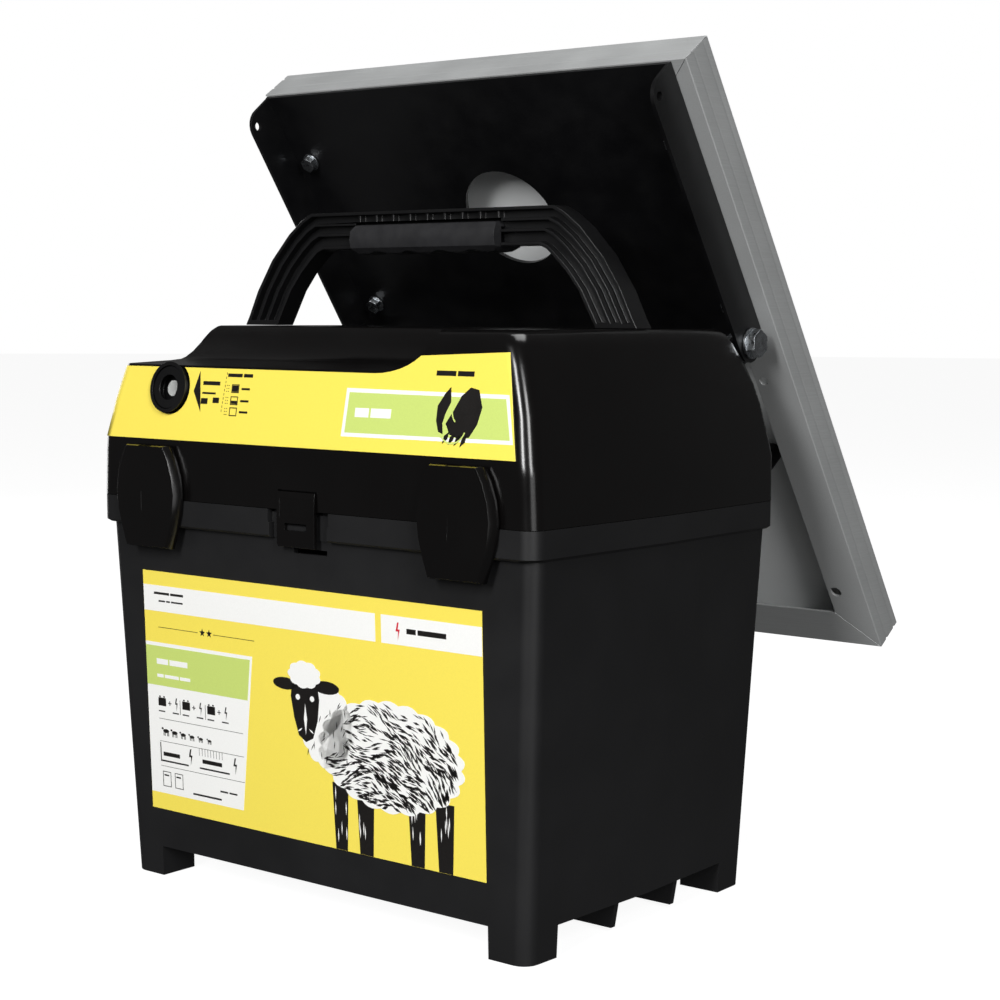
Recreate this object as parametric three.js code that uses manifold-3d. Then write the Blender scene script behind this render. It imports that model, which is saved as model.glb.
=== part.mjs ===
// Battery fence energizer with a hinged lid, a carrying handle and a tilting solar panel.
// Millimetres, +Z up, front face towards -Y. Drawn about the box's own centre, then moved so
// that the whole object's footprint is centred on the origin.
import * as THREE from "three";
import { mergeVertices } from "three/addons/utils/BufferGeometryUtils.js";
import { ConvexGeometry } from "three/addons/geometries/ConvexGeometry.js";
import Module from "manifold-3d";

const wasm = await Module();
wasm.setup();

// ---------- driving dimensions ----------
const GAP = 0.3; // clearance between neighbouring pieces
const PARTING = 209.8; // height where lid and base meet
const FOOT_H = 16.5;
const FOOT = { x: 115.2, y: 71.6 }; // inner edges of the corner feet
const WALL = 3;
const RIB_Y = [-20.4, 32.3]; // skid ribs under the base
const BELT = { z: 196.5, proudX: 2, proudY: 4.3 };
const LID_TOP = 300.6;
const CORNER_R = { front: 8.5, rear: 5 };
const HALF = { front: 149.2, mid: 152, rear: 149.2, y: 104.8 }; // half sizes at the parting line
const SCOOP = { x: 46, rx: 36, z: 302, rz: 21.6 }; // quarter ellipse at the scoop's right end
const BUTTON = { x: -95.4, z: 268.4, bezelR: 13.5, capR: 11.2 };
const HINGE = { y: 112, z: 209.8, r: 5, pinR: 2 };
const LATCH_X = 106;
const LATCH_AXIS = { y: -108.3, z: 235.6 };
const PIVOT = { s: 227.6, h: -13.2 }; // panel tilt axis, in panel coordinates
const PANEL = { w: 289.4, l: 387, h: 22.8, tilt: 55.45, y0: 238.9, z0: 113.1 };
const BRACKET = { s0: 219, s1: 386, t: 2, x: -3.6, half: 139.4, depth: 23.6 };
const BATTERY = { x: 190, y: 125, z: 160 };
const SHIFT_Y = -72.6; // moves the whole object over the origin

const RAD = Math.PI / 180;
const FRONT_SLOPE = Math.tan(10 * RAD);
const SLOPE_Z = 240.8; // the lid's front leans back above this height

// ---------- materials ----------
function material(color, roughness, metalness = 0) {
  return new THREE.MeshStandardMaterial({ color, roughness, metalness });
}
const MAT = {
  base: material(0x1b1b1c, 0.55),
  lid: material(0x0d0c0c, 0.2),
  black: material(0x101011, 0.4),
  grip: material(0x232325, 0.65),
  yellow: material(0xffe23c, 0.4),
  bracket: material(0x0e0e10, 0.4, 0.3),
  alu: material(0xb4b6b5, 0.4, 0.9),
  zinc: material(0xb9bec2, 0.3, 1),
  backsheet: material(0xf1f2f2, 0.5),
  battery: material(0x3a3f44, 0.5),
  lead: material(0x8b8c8d, 0.45, 1),
  red: material(0xb3201a, 0.45),
  green: material(0x1f6b34, 0.5),
  copper: material(0xa65a2a, 0.35, 1),
  rubber: material(0x17171a, 0.8),
  lens: material(0xf4f4f0, 0.1),
  brass: material(0xb58b3e, 0.3, 1),
};

// ---------- solids ----------
// A closed three.js geometry as a manifold-3d solid.
function solid(geometry) {
  const g = geometry.clone();
  g.deleteAttribute("normal");
  g.deleteAttribute("uv");
  const m = mergeVertices(g, 1e-4);
  return new wasm.Manifold(
    new wasm.Mesh({
      numProp: 3,
      vertProperties: m.attributes.position.array,
      triVerts: new Uint32Array(m.index.array),
    }),
  );
}

function box(x0, x1, y0, y1, z0, z1) {
  const g = new THREE.BoxGeometry(x1 - x0, y1 - y0, z1 - z0);
  return solid(g.translate((x0 + x1) / 2, (y0 + y1) / 2, (z0 + z1) / 2));
}

// A round bar between two ends on the given axis, with an optional smaller end radius.
function rod(axis, centre, from, to, r, sides = 24, r2 = r) {
  const g = new THREE.CylinderGeometry(r2, r, to - from, sides);
  g.translate(0, (from + to) / 2, 0);
  if (axis === "x") g.rotateZ(-Math.PI / 2);
  if (axis === "z") g.rotateX(Math.PI / 2);
  const [u, v] = centre;
  if (axis === "x") g.translate(0, u, v);
  if (axis === "y") g.translate(u, 0, v);
  if (axis === "z") g.translate(u, v, 0);
  return solid(g);
}

function extruded(points, depth) {
  const shape = new THREE.Shape(points.map(([x, y]) => new THREE.Vector2(x, y)));
  return new THREE.ExtrudeGeometry(shape, { depth, bevelEnabled: false });
}

// An outline in the XZ plane, extruded along Y from y0 to y1.
function slabXZ(points, y0, y1) {
  return solid(extruded(points, y1 - y0).rotateX(Math.PI / 2).translate(0, y1, 0));
}

// An outline in the XY plane, extruded along Z from z0 to z1.
function slabXY(points, z0, z1) {
  return solid(extruded(points, z1 - z0).translate(0, 0, z0));
}

// An outline in the YZ plane, extruded along X from x0 to x1.
function slabYZ(points, x0, x1) {
  const g = extruded(points, x1 - x0);
  g.applyMatrix4(new THREE.Matrix4().set(0, 0, 1, 0, 1, 0, 0, 0, 0, 1, 0, 0, 0, 0, 0, 1));
  return solid(g.translate(x0, 0, 0));
}

function hull(points) {
  return solid(new ConvexGeometry(points.map((p) => new THREE.Vector3(...p))));
}

function union(...parts) {
  return parts.reduce((a, b) => a.add(b));
}

function cut(body, ...tools) {
  return tools.reduce((a, b) => a.subtract(b), body);
}

function arc(cx, cy, r, from, to, steps) {
  return Array.from({ length: steps + 1 }, (_, i) => {
    const a = (from + ((to - from) * i) / steps) * RAD;
    return [cx + r * Math.cos(a), cy + r * Math.sin(a)];
  });
}

function roundedRect(x0, x1, y0, y1, r, steps = 4) {
  return [
    ...arc(x1 - r, y0 + r, r, -90, 0, steps),
    ...arc(x1 - r, y1 - r, r, 0, 90, steps),
    ...arc(x0 + r, y1 - r, r, 90, 180, steps),
    ...arc(x0 + r, y0 + r, r, 180, 270, steps),
  ];
}

// ---------- the box's plan: six-sided, creased at mid depth, with rounded corners ----------
function corner(x, y, r, inX, inY, steps) {
  const cx = x - inX * r, cy = y - inY * r;
  const start = inX > 0 ? (inY > 0 ? 0 : -90) : inY > 0 ? 90 : 180;
  return arc(cx, cy, r, start, start + 90, steps);
}

// s: {z, front, mid, rear, y0, y1}: half widths at the front, middle and rear, and the two ends
function planLoop(s, inset = 0, steps = 5) {
  const f = s.front - inset, m = s.mid - inset, b = s.rear - inset;
  const y0 = s.y0 + inset, y1 = s.y1 - inset;
  const rf = Math.max(CORNER_R.front - inset, 1.5), rb = Math.max(CORNER_R.rear - inset, 1.5);
  return [
    ...corner(f, y0, rf, 1, -1, steps),
    [m, 0],
    ...corner(b, y1, rb, 1, 1, steps),
    ...corner(-b, y1, rb, -1, 1, steps),
    [-m, 0],
    ...corner(-f, y0, rf, -1, -1, steps),
  ];
}

function stacked(sections, inset = 0) {
  return hull(
    sections.flatMap((s) => planLoop(s, inset).map(([x, y]) => [x, y, s.z])),
  );
}

// ---------- base ----------
const DRAFT = { x: Math.tan(2.45 * RAD), y: Math.tan(1.8 * RAD) };
function shrink(s, dx, dy = dx) {
  return {
    z: s.z, front: s.front - dx, mid: s.mid - dx, rear: s.rear - dx, y0: s.y0 + dy, y1: s.y1 - dy,
  };
}
function beltSection(z) {
  return { z, front: HALF.front, mid: HALF.mid, rear: HALF.rear, y0: -HALF.y, y1: HALF.y };
}
function baseSection(z) {
  const t = BELT.z - z;
  return shrink(beltSection(z), t * DRAFT.x + BELT.proudX, t * DRAFT.y + BELT.proudY);
}

function footPocket(sx, sy) {
  const x = sx * 118.5, y = sy * 75.5;
  const a = Math.min(x, x + sx * 10.5), b = Math.min(y, y + sy * 13);
  return box(a, a + 10.5, b, b + 13, 4, FOOT_H + 6);
}

function baseShell() {
  const outer = stacked([baseSection(0), baseSection(BELT.z + 2)]);
  const belt = stacked([
    shrink(beltSection(BELT.z - 1.2), 1.4),
    beltSection(BELT.z), beltSection(PARTING),
  ]);
  const notch = union(
    box(-20, 20, -110, -101.2, BELT.z - 4, PARTING + 5),
    box(-7, 16, -110, -96, 188, 190.6),
  );
  const under = union(
    box(-FOOT.x, FOOT.x, -120, 120, -5, FOOT_H),
    box(-160, 160, -FOOT.y, FOOT.y, -5, FOOT_H),
  );
  const cavity = stacked([
    baseSection(FOOT_H + 3), baseSection(PARTING - 12), baseSection(PARTING + 4),
  ], WALL);
  let body = cut(union(outer, belt), notch, under, cavity);
  for (const [sx, sy] of [[1, 1], [1, -1], [-1, 1], [-1, -1]])
    body = body.subtract(footPocket(sx, sy));
  return body;
}

function skidRib(y) {
  const side = [[-136, 2.2], [136, 2.2], [138.6, FOOT_H + 1], [-138.6, FOOT_H + 1]];
  return slabXZ(side, y - 1.8, y + 1.8);
}

// Low ribs on the floor that hold the battery in place.
function batteryRibs() {
  const hx = BATTERY.x / 2 + 1, hy = BATTERY.y / 2 + 1, z0 = FOOT_H + 2, z1 = FOOT_H + 28;
  const ribs = [];
  for (const s of [-1, 1]) {
    const ax = s > 0 ? hx : -hx - 2.4;
    const ay = s > 0 ? hy : -hy - 2.4;
    ribs.push(box(ax, ax + 2.4, -50, 50, z0, z1));
    ribs.push(box(-80, 80, ay, ay + 2.4, z0, z1));
  }
  return union(...ribs);
}

// The base's knuckles, in two pairs.
function knuckle(x0, x1, z0, z1) {
  const lug = box(x0, x1, 103.6, HINGE.y, z0, z1);
  return union(lug, rod("x", [HINGE.y, HINGE.z], x0, x1, HINGE.r, 20));
}

function baseKnuckles() {
  const bore = rod("x", [HINGE.y, HINGE.z], -160, 160, HINGE.pinR + GAP, 16);
  const k = [[70, 84], [106, 120]].flatMap(([a, b]) => [
    knuckle(a, b, HINGE.z - HINGE.r, HINGE.z),
    knuckle(-b, -a, HINGE.z - HINGE.r, HINGE.z),
  ]);
  return { lugs: union(...k), bore };
}

function sealGroove(depth, extra) {
  const s = beltSection(0);
  const a = slabXY(planLoop(s, 3.4 - extra), PARTING - depth, PARTING + 5);
  return a.subtract(slabXY(planLoop(s, 5.6 + extra), PARTING - depth - 1, PARTING + 6));
}

function makeBase() {
  const { lugs, bore } = baseKnuckles();
  const tooth = slabYZ([[-100, 199], [-104, 200], [-104, 202], [-100, 206]], -8, 8);
  const body = union(baseShell(), batteryRibs(), ...RIB_Y.map(skidRib), tooth, lugs);
  return cut(body, bore, sealGroove(1.6, 0.2), box(-21, 21, -110, -101.3, 203, 215));
}

function makeSeal() {
  const ring = sealGroove(1.6 - GAP, -GAP / 2);
  return ring.intersect(box(-170, 170, -98.9, 120, PARTING - 3, PARTING - 0.1));
}

// ---------- lid ----------
function frontY(z) {
  return -104.8 + Math.max(0, z - SLOPE_Z) * FRONT_SLOPE;
}
const LID = [
  { z: PARTING + GAP, front: 149.2, mid: 152, rear: 149.2, y0: -104.8, y1: 105.2 },
  { z: 234, front: 148.1, mid: 151.6, rear: 147.4, y0: -104.8, y1: 107.5 },
  { z: SLOPE_Z, front: 147.4, mid: 151.3, rear: 146.6, y0: -104.8, y1: 106.2 },
  { z: 261, front: 143.2, mid: 150, rear: 144.4, y0: frontY(261), y1: 100 },
  { z: 272, front: 140, mid: 148.5, rear: 142.2, y0: frontY(272), y1: 96 },
  { z: 284, front: 136, mid: 146, rear: 139, y0: frontY(284), y1: 90.3 },
  { z: 293, front: 132.6, mid: 142.8, rear: 137.2, y0: frontY(293), y1: 82.6 },
  { z: 298, front: 129.8, mid: 139.6, rear: 135.8, y0: -93, y1: 78 },
  { z: LID_TOP, front: 125.8, mid: 136.8, rear: 133, y0: -89, y1: 73 },
];

// Side profile of the scoop: a low ledge at the front and a concave rise to the rim.
const SCOOP_CURVE = [
  [-98, 280.4], [-60, 281.6], [-52, 282.2], [-48.5, 283.3], [-43.5, 286.4],
  [-38.5, 291.2], [-34.3, 297], [-30.6, 300.2], [-26, 301.2],
];
// Front view of the scoop's right end: it curls up from the ledge to the full-height block.
function scoopCurl(grow = 0) {
  return arc(0, 0, 1, -90, 0, 10).map(([u, v]) => [
    SCOOP.x + (SCOOP.rx + grow) * u, SCOOP.z + (SCOOP.rz + grow) * v,
  ]);
}

function scoopCutter(t) {
  const side = SCOOP_CURVE.map(([y, z]) => [y + t * 0.6, z - t]);
  const yz = [[-140, side[0][1] - 0.8], ...side, [-26 + t, 330], [-140, 330]];
  const end = SCOOP.x + SCOOP.rx + t;
  const xz = [[-180, 260], [SCOOP.x - 20, 260], [SCOOP.x - 12, 279], ...scoopCurl(t), [end, 330], [-180, 330]];
  return slabYZ(yz, -180, 180).intersect(slabXZ(xz, -150, 150));
}

function latchPocket(x) {
  return box(x - 5.2, x + 5.2, -104.6, -103, 228, 239);
}

// The lug that carries one latch's pin.
function latchLug(x) {
  const { y, z } = LATCH_AXIS;
  const lug = union(
    rod("x", [y, z], x - 4, x + 4, 2.6, 16), box(x - 4, x + 4, y, -104, z - 2.4, z + 2.4),
  );
  return lug.subtract(rod("x", [y, z], x - 20, x + 20, 1.5, 12));
}

function lidKnuckles() {
  const k = [[84.5, 105.5], [-105.5, -84.5]].map(([a, b]) =>
    union(
      box(a, b, 103.2, HINGE.y, HINGE.z + 0.6, HINGE.z + HINGE.r),
      rod("x", [HINGE.y, HINGE.z], a, b, HINGE.r, 20),
    ),
  );
  return union(...k);
}

function makeLid() {
  const outer = stacked(LID);
  const cavity = stacked(
    LID.map((s, i) => (i === 0 ? { ...s, z: s.z - 3 } : { ...s, z: s.z - (s.z > 280 ? 2.6 : 0) })),
    WALL,
  );
  const room = cavity.subtract(scoopCutter(2.8));
  const bore = rod("x", [HINGE.y, HINGE.z], -160, 160, HINGE.pinR + GAP, 16);
  const buttonHole = tiltedRod(BUTTON.x, BUTTON.z, -12, 12, BUTTON.capR + 1.3, 40);
  let lid = cut(outer, scoopCutter(0), room);
  lid = union(lid, lidKnuckles(), latchLug(-LATCH_X), latchLug(LATCH_X));
  const clear = [[69.4, 84.4], [105.6, 120.6]].flatMap(([a, b]) => [[a, b], [-b, -a]])
    .map(([a, b]) => rod("x", [HINGE.y, HINGE.z], a, b, HINGE.r + 0.6, 20));
  lid = cut(lid, bore, buttonHole, ...clear, ...terminalHoles(), clipSeat());
  return lid;
}

// A bar square to the lid's sloping front, centred on a point of that face.
function tiltedRod(x, z, from, to, r, sides = 32, r2 = r) {
  const g = new THREE.CylinderGeometry(r2, r, to - from, sides);
  g.translate(0, -(from + to) / 2, 0);
  g.rotateX(-10 * RAD);
  return solid(g.translate(x, frontY(z), z));
}

// ---------- centre clip ----------
function clipSeat() {
  return box(-13.4, 13.4, -106, -103.4, PARTING - 1, 220.2);
}

function makeClip() {
  const face = [
    [-103.7, 219.7], [-105.8, 219.4], [-106.4, 213], [-106.4, 193], [-105.6, 191.5], [-104.4, 191.5],
    [-104.4, PARTING], [-103.7, PARTING + 0.6],
  ];
  const tab = slabYZ(face, -13, 13);
  return cut(tab, box(-7.5, 7.5, -110, -100, 200, 203.6), box(-11, 11, -110, -105.9, 206.5, 216));
}

// ---------- latches ----------
function latchOutline(x) {
  const half = [[15.5, 239], [19.5, 232], [22.6, 223], [24, 213], [22.8, 203], [20.2, 194], [16.5, 184]];
  return [
    ...half.map(([w, z]) => [x + w, z]),
    ...half.slice().reverse().map(([w, z]) => [x - w, z]),
  ];
}

// A barrel-shaped plate whose sides slope back from a flat face, hollow behind.
function makeLatch(x) {
  const { y, z } = LATCH_AXIS;
  const face = latchOutline(0).map(([px, pz]) => [x + px * 0.91, 211.5 + (pz - 211.5) * 0.96]);
  const loop = (points, depth) => points.map(([px, pz]) => [px, depth, pz]);
  const barrel = hull([
    ...loop(latchOutline(x), -105.4), ...loop(latchOutline(x), -107.8), ...loop(face, -111.2),
  ]);
  const side = [
    [-105.6, 184], [-105.6, z], ...arc(y, z, 2.7, 0, 90, 4), [-111, z + 3], [-114, z], [-114, 184],
  ];
  const plate = barrel.intersect(slabYZ(side, x - 30, x + 30));
  const slot = box(x - 4.4, x + 4.4, -111, -100, z - 3, z + 12);
  const back = box(x - 13, x + 13, -109, -100, 190, 228);
  const mark = box(x - 3, x + 3, -113, -110.9, 204, 214);
  const bore = rod("x", [y, z], x - 12.6, x + 12.6, 1.5, 12);
  return cut(plate, slot, back, mark, bore);
}

function makeLatchPin(x) {
  return rod("x", [LATCH_AXIS.y, LATCH_AXIS.z], x - 12, x + 12, 1.2, 12);
}

// ---------- handle ----------
const ARCH_OUT = [[136, LID_TOP + GAP], [133, 306], [126, 320], [114.5, 337], [101, 351], [91, 358.5], [84, 362]];
const ARCH_IN = [[111, LID_TOP + GAP], [108.6, 305], [100, 320], [92, 329.5], [85, 336], [79.5, 340.5], [75, 342.4]];

// A strip that follows the arch, between two shares of its width.
function archStrip(a, b) {
  const at = (t) => ARCH_OUT.map(([x, z], i) => [
    x + (ARCH_IN[i][0] - x) * t, z + (ARCH_IN[i][1] - z) * t,
  ]);
  const top = at(a), low = at(b);
  const mirror = (p) => p.map(([x, z]) => [-x, z]);
  return [...top, ...mirror(top).reverse(), ...mirror(low), ...low.slice().reverse()];
}

function makeHandle() {
  const y0 = -6.5, y1 = 6.5;
  let body = slabXZ(archStrip(0, 1), y0, y1);
  for (const [a, b] of [[0.09, 0.29], [0.37, 0.57], [0.65, 0.91]]) {
    const strip = archStrip(a, b);
    const stop = box(-160, 160, -10, 10, LID_TOP + 3, 380);
    const front = slabXZ(strip, y0 - 1, y0 + 4.6).intersect(stop);
    const back = slabXZ(strip, y1 - 4.6, y1 + 1).intersect(stop);
    body = cut(body, front, back);
  }
  const ribs = [-48, -36, -24, -12, 0, 12, 24, 36, 48].map((x) =>
    box(x - 0.8, x + 0.8, y0 + 0.6, y1 - 0.6, 356, 361.6),
  );
  body = union(body, ...ribs);
  const room = cut(
    box(-50.4, 50.4, -20, 20, 330, 356.2), box(-60, 60, -2, 2, 351, 360),
    box(-60, 60, -5.2, 5.2, 343.2, 352),
  );
  return body.subtract(room).subtract(box(-50.4, 50.4, -20, 20, 330, 343.2));
}

function makeGrip() {
  const side = [
    [-2.4, 355.4], [-8.5, 354.6], [-11.2, 351.4], [-12, 347], [-11, 342.6], [-7.5, 339.8], [0, 339],
    [7.5, 339.8], [11, 342.6], [12, 347], [11.2, 351.4], [8.5, 354.6], [2.4, 355.4],
  ];
  const top = Array.from({ length: 51 }, (_, i) => {
    const x = -50 + 2 * i;
    const fall = Math.max(0, Math.abs(x) - 46) * 0.5;
    return [x, 338.9 + 1.1 * (1 - Math.cos((x / 22) * 2 * Math.PI)) * 0.9 + fall];
  });
  const front = [...top, [50, 352], [48, 356], [-48, 356], [-50, 352]];
  const bar = slabYZ(side, -50, 50).intersect(slabXZ(front, -20, 20));
  const core = box(-60, 60, -5.5, 5.5, 342.9, 352.3);
  return cut(bar, core, box(-60, 60, -2.3, 2.3, 350, 360));
}

// ---------- push button with lamp ----------
const onFront = (...args) => tiltedRod(BUTTON.x, BUTTON.z, ...args);

function makeBezel() {
  const { bezelR, capR } = BUTTON;
  const flange = onFront(0.9, 3.4, bezelR, 40, bezelR - 0.9);
  const neck = onFront(-7, 1, capR + 1, 40);
  return cut(union(flange, neck), onFront(-12, 6, capR + 0.3, 40));
}

// The cap is a cup: its floor, with the lamp, lies well behind its rim.
function makeButton() {
  const cap = onFront(-8, 2.8, BUTTON.capR, 40, BUTTON.capR - 0.4);
  const cup = onFront(-3, 3, 6.4, 40, 10.1);
  return cut(cap, cup, onFront(-12, 6, 4.7, 24));
}

function makeLens() {
  return union(onFront(-8, -2.4, 4.3, 24), onFront(-2.5, -0.6, 4.3, 24, 2.6));
}

// ---------- labels ----------
function makeBaseLabel() {
  const y0 = (z) => baseSection(z).y0 - 0.15;
  const s = [[y0(38.2), 38.2], [y0(38.2) - 0.4, 38.2], [y0(170.1) - 0.4, 170.1], [y0(170.1), 170.1]];
  return slabYZ(s, -121.1, 115.2);
}

// A film that follows the lid's front and wraps round its left corner.
function makeLidLabel() {
  const z0 = 241.6, top = 290.5, drop = 1.2;
  const outline = [
    [-160, z0], [138.6, z0], [128, top],
    ...scoopCurl().filter(([, z]) => z < top + drop).map(([x, z]) => [x, z - drop]).reverse(),
    [-160, 279.4],
  ];
  const front = [[-120, z0 - 1], [frontY(z0) + 3.4, z0 - 1], [frontY(top) + 3.4, top], [-120, top]];
  const skin = stacked(LID, -0.6).subtract(stacked(LID, -0.15));
  const sheet = skin.intersect(slabXZ(outline, -120, -80)).intersect(slabYZ(front, -170, 170));
  return sheet.subtract(onFront(-5, 5, BUTTON.bezelR + 0.5, 40));
}

// ---------- hinge pins, terminals, electronics ----------
function makeHingePin(s) {
  const a = s > 0 ? 69 : -121, b = s > 0 ? 121 : -69;
  return rod("x", [HINGE.y, HINGE.z], a, b, HINGE.pinR, 16);
}

const TERMINALS = [-26, 26];
const TERMINAL_Z = 228;
function rearY(z) {
  return 105.2 + ((z - PARTING - GAP) / (234 - PARTING - GAP)) * 2.3;
}
function terminalHoles() {
  return TERMINALS.map((x) => rod("y", [x, TERMINAL_Z], 96, 112, 3.3, 16));
}
function makeStud(x) {
  const y = rearY(TERMINAL_Z);
  return union(
    rod("y", [x, TERMINAL_Z], 92, y + 16, 3, 16),
    rod("y", [x, TERMINAL_Z], 97, 102, 6, 6),
  );
}
function makeKnob(x) {
  const y = rearY(TERMINAL_Z) + 1.6;
  const outline = Array.from({ length: 36 }, (_, i) => {
    const r = 8.4 + 0.5 * Math.cos(i * 60 * RAD), a = i * 10 * RAD;
    return [x + r * Math.cos(a), TERMINAL_Z + r * Math.sin(a)];
  });
  const body = slabXZ(outline, y, y + 11).add(rod("y", [x, TERMINAL_Z], y - 1, y + 2, 6, 24));
  return body.subtract(rod("y", [x, TERMINAL_Z], y - 5, y + 30, 3.3, 16));
}

function makeTray() {
  const s = { front: 140.4, mid: 147.4, rear: 140.6, y0: -96, y1: 99.5 };
  const plate = slabXY(planLoop(s), 214, 216.4);
  const bossAt = [[-110, 60], [110, 60], [-110, -50], [110, -50]];
  const bosses = bossAt.map(([x, y]) => rod("z", [x, y], 216, 222, 4, 16));
  return union(plate, ...bosses);
}
function makeBoard() {
  return box(-118, 118, -62, 72, 222.4, 224);
}
// A laminated core with two windows, and the winding round its middle limb.
function makeTransformer() {
  const core = box(30, 92, -16, 16, 224.4, 268);
  return cut(core, box(42, 54, -40, 40, 236, 257), box(68, 80, -40, 40, 236, 257));
}
function makeCoil() {
  const turns = slabXY(roundedRect(43, 79, -27, 27, 5), 236.6, 256.4);
  return turns.subtract(box(53.6, 68.4, -16.4, 16.4, 230, 260));
}
function makeCapacitor() {
  return union(
    rod("x", [40, 241], -60, 4, 16, 28), rod("x", [40, 241], 4, 7, 14, 28, 12),
  );
}

// ---------- battery ----------
function makeBattery() {
  const hx = BATTERY.x / 2, hy = BATTERY.y / 2, z0 = FOOT_H + 3.4;
  const body = slabXY(roundedRect(-hx, hx, -hy, hy, 5), z0, z0 + BATTERY.z - 14);
  const lid = slabXY(roundedRect(-hx + 1, hx - 1, -hy + 1, hy - 1, 5), z0 + BATTERY.z - 15, z0 + BATTERY.z - 4);
  const rim = slabXY(roundedRect(-hx + 14, hx - 14, -hy + 14, hy - 14, 5), z0 + BATTERY.z - 5, z0 + BATTERY.z);
  return union(body, lid, rim);
}
function makePost(x) {
  const z = FOOT_H + 3.4 + BATTERY.z + GAP;
  return union(rod("z", [x, -34], z, z + 3, 9, 24), rod("z", [x, -34], z + 2, z + 11, 6, 24, 5.4));
}

// ---------- solar panel, drawn flat: x across, -y up the panel, z out of the sun side ----------
const HW = PANEL.w / 2;
const PIVOT_R = 3.9; // M8 bolts at the tilt axis

// Frame section: u runs inwards from the outer face, h from the back.
const RAIL = [
  [24, 0], [24, 1.6], [1.8, 1.6], [1.8, 15], [7, 15], [7, 16.4], [1.8, 16.4], [1.8, 21.2],
  [8, 21.2], [8, PANEL.h], [0.5, PANEL.h], [0, PANEL.h - 0.5], [0, 19.2], [0.35, 18.7], [0.35, 17.5],
  [0, 17], [0, 9.1], [0.35, 8.6], [0.35, 7.4], [0, 6.9], [0, 0.4], [0.4, 0],
];

// One rail along +X with mitred ends, its outer face at y = -half.
function rail(length, half) {
  const g = extruded(RAIL.map(([u, h]) => [u - half, h]), length + 2);
  g.applyMatrix4(new THREE.Matrix4().set(0, 0, 1, 0, 1, 0, 0, 0, 0, 1, 0, 0, 0, 0, 0, 1));
  const bar = solid(g.translate(-length / 2 - 1, 0, 0));
  const e = 0.15, d = 30, L = length / 2 - e;
  return bar.intersect(slabXY(
    [[-L - 5, -half - 5], [L + 5, -half - 5], [L - d, -half + d], [-L + d, -half + d]], -1, 40,
  ));
}

function turnedZ(body, deg) {
  return body.rotate([0, 0, deg]);
}

function panelFrame() {
  const mid = PANEL.l / 2;
  const place = (b) => b.translate([0, -mid, 0]);
  const lipHoles = (b) => cut(b, ...[-126, 126].flatMap((x) =>
    [41, 193].map((s) => rod("z", [x, -s], -5, 5, s === 193 ? 2.6 : 3.4, 16))), ...boltHoles(2.8));
  return {
    frame_rail_bottom: place(rail(PANEL.w, mid).rotate([0, 0, 180])),
    frame_rail_top: place(rail(PANEL.w, mid)),
    frame_rail_right: lipHoles(place(turnedZ(rail(PANEL.l, HW), 90))),
    frame_rail_left: lipHoles(place(turnedZ(rail(PANEL.l, HW), -90))),
  };
}

const BOLT_AT = [-129.3, 124.4].flatMap((x) => [[x, 344], [x, 245.5]]);
function boltHoles(r) {
  return BOLT_AT.map(([x, s]) => rod("z", [x, -s], -8, 8, r, 16));
}

function makeLaminate() {
  const e = 2.3;
  return box(-HW + e, HW - e, -PANEL.l + e, -e, 16.8, 20.8);
}

function makeJunctionBox() {
  const body = slabXY(roundedRect(58, 109, -137, -126.5, 3), 4, 16.4);
  return cut(body, rod("x", [-131.7, 10], 50, 58.9, 2.6, 12));
}

function makePanelBracket() {
  const { s0, s1, t, x, half, depth } = BRACKET;
  const plate = box(x - half, x + half, -s1, -s0, -t - GAP, -GAP);
  const low = -PIVOT.s, back = -GAP - 0.05;
  const flange = [
    [-s1, back], [-s1 + 1, -depth + 10], ...arc(-s1 + 11, -depth + 10, 10, 180, 270, 6),
    ...arc(low, PIVOT.h, depth + PIVOT.h, -90, 75, 8), [low + 4, back],
  ];
  const flanges = [x - half, x + half - t].map((a) => slabYZ(flange, a, a + t));
  const big = rod("z", [0, -302], -10, 10, 29.5, 48);
  const axis = rod("x", [low, PIVOT.h], -160, 160, PIVOT_R + GAP, 16);
  const small = rod("x", [-377, -18], -160, 160, 2.4, 12);
  return cut(union(plate, ...flanges), big, axis, small, ...boltHoles(2.8));
}

// A hex bolt along z with its head at the low side, washer under the head.
function hexBolt(x, s, headZ, tipZ) {
  const dir = tipZ > headZ ? 1 : -1;
  const span = (a, b) => (dir > 0 ? [headZ + a, headZ + b] : [headZ - b, headZ - a]);
  const piece = (a, b, r, n) => rod("z", [x, -s], ...span(a, b), r, n);
  return union(
    piece(-4.6, -0.9, 4.62, 6), piece(-1, 0, 5.2, 24), piece(-0.2, Math.abs(tipZ - headZ), 2.45, 16),
  );
}
function nut(x, s, z0, z1) {
  return rod("z", [x, -s], z0, z1, 4.62, 6).subtract(rod("z", [x, -s], z0 - 1, z1 + 1, 2.7, 16));
}

// Everything drawn flat in the panel's own plane, moved to its place behind the lid.
function onPanel(body) {
  const m = new THREE.Matrix4().makeRotationX(-PANEL.tilt * RAD);
  m.setPosition(0, PANEL.y0, PANEL.z0);
  return body.transform(m.elements);
}

const COS = Math.cos(PANEL.tilt * RAD), SIN = Math.sin(PANEL.tilt * RAD);
const AXIS = {
  y: PANEL.y0 - COS * PIVOT.s + SIN * PIVOT.h,
  z: PANEL.z0 + SIN * PIVOT.s + COS * PIVOT.h,
};

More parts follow.
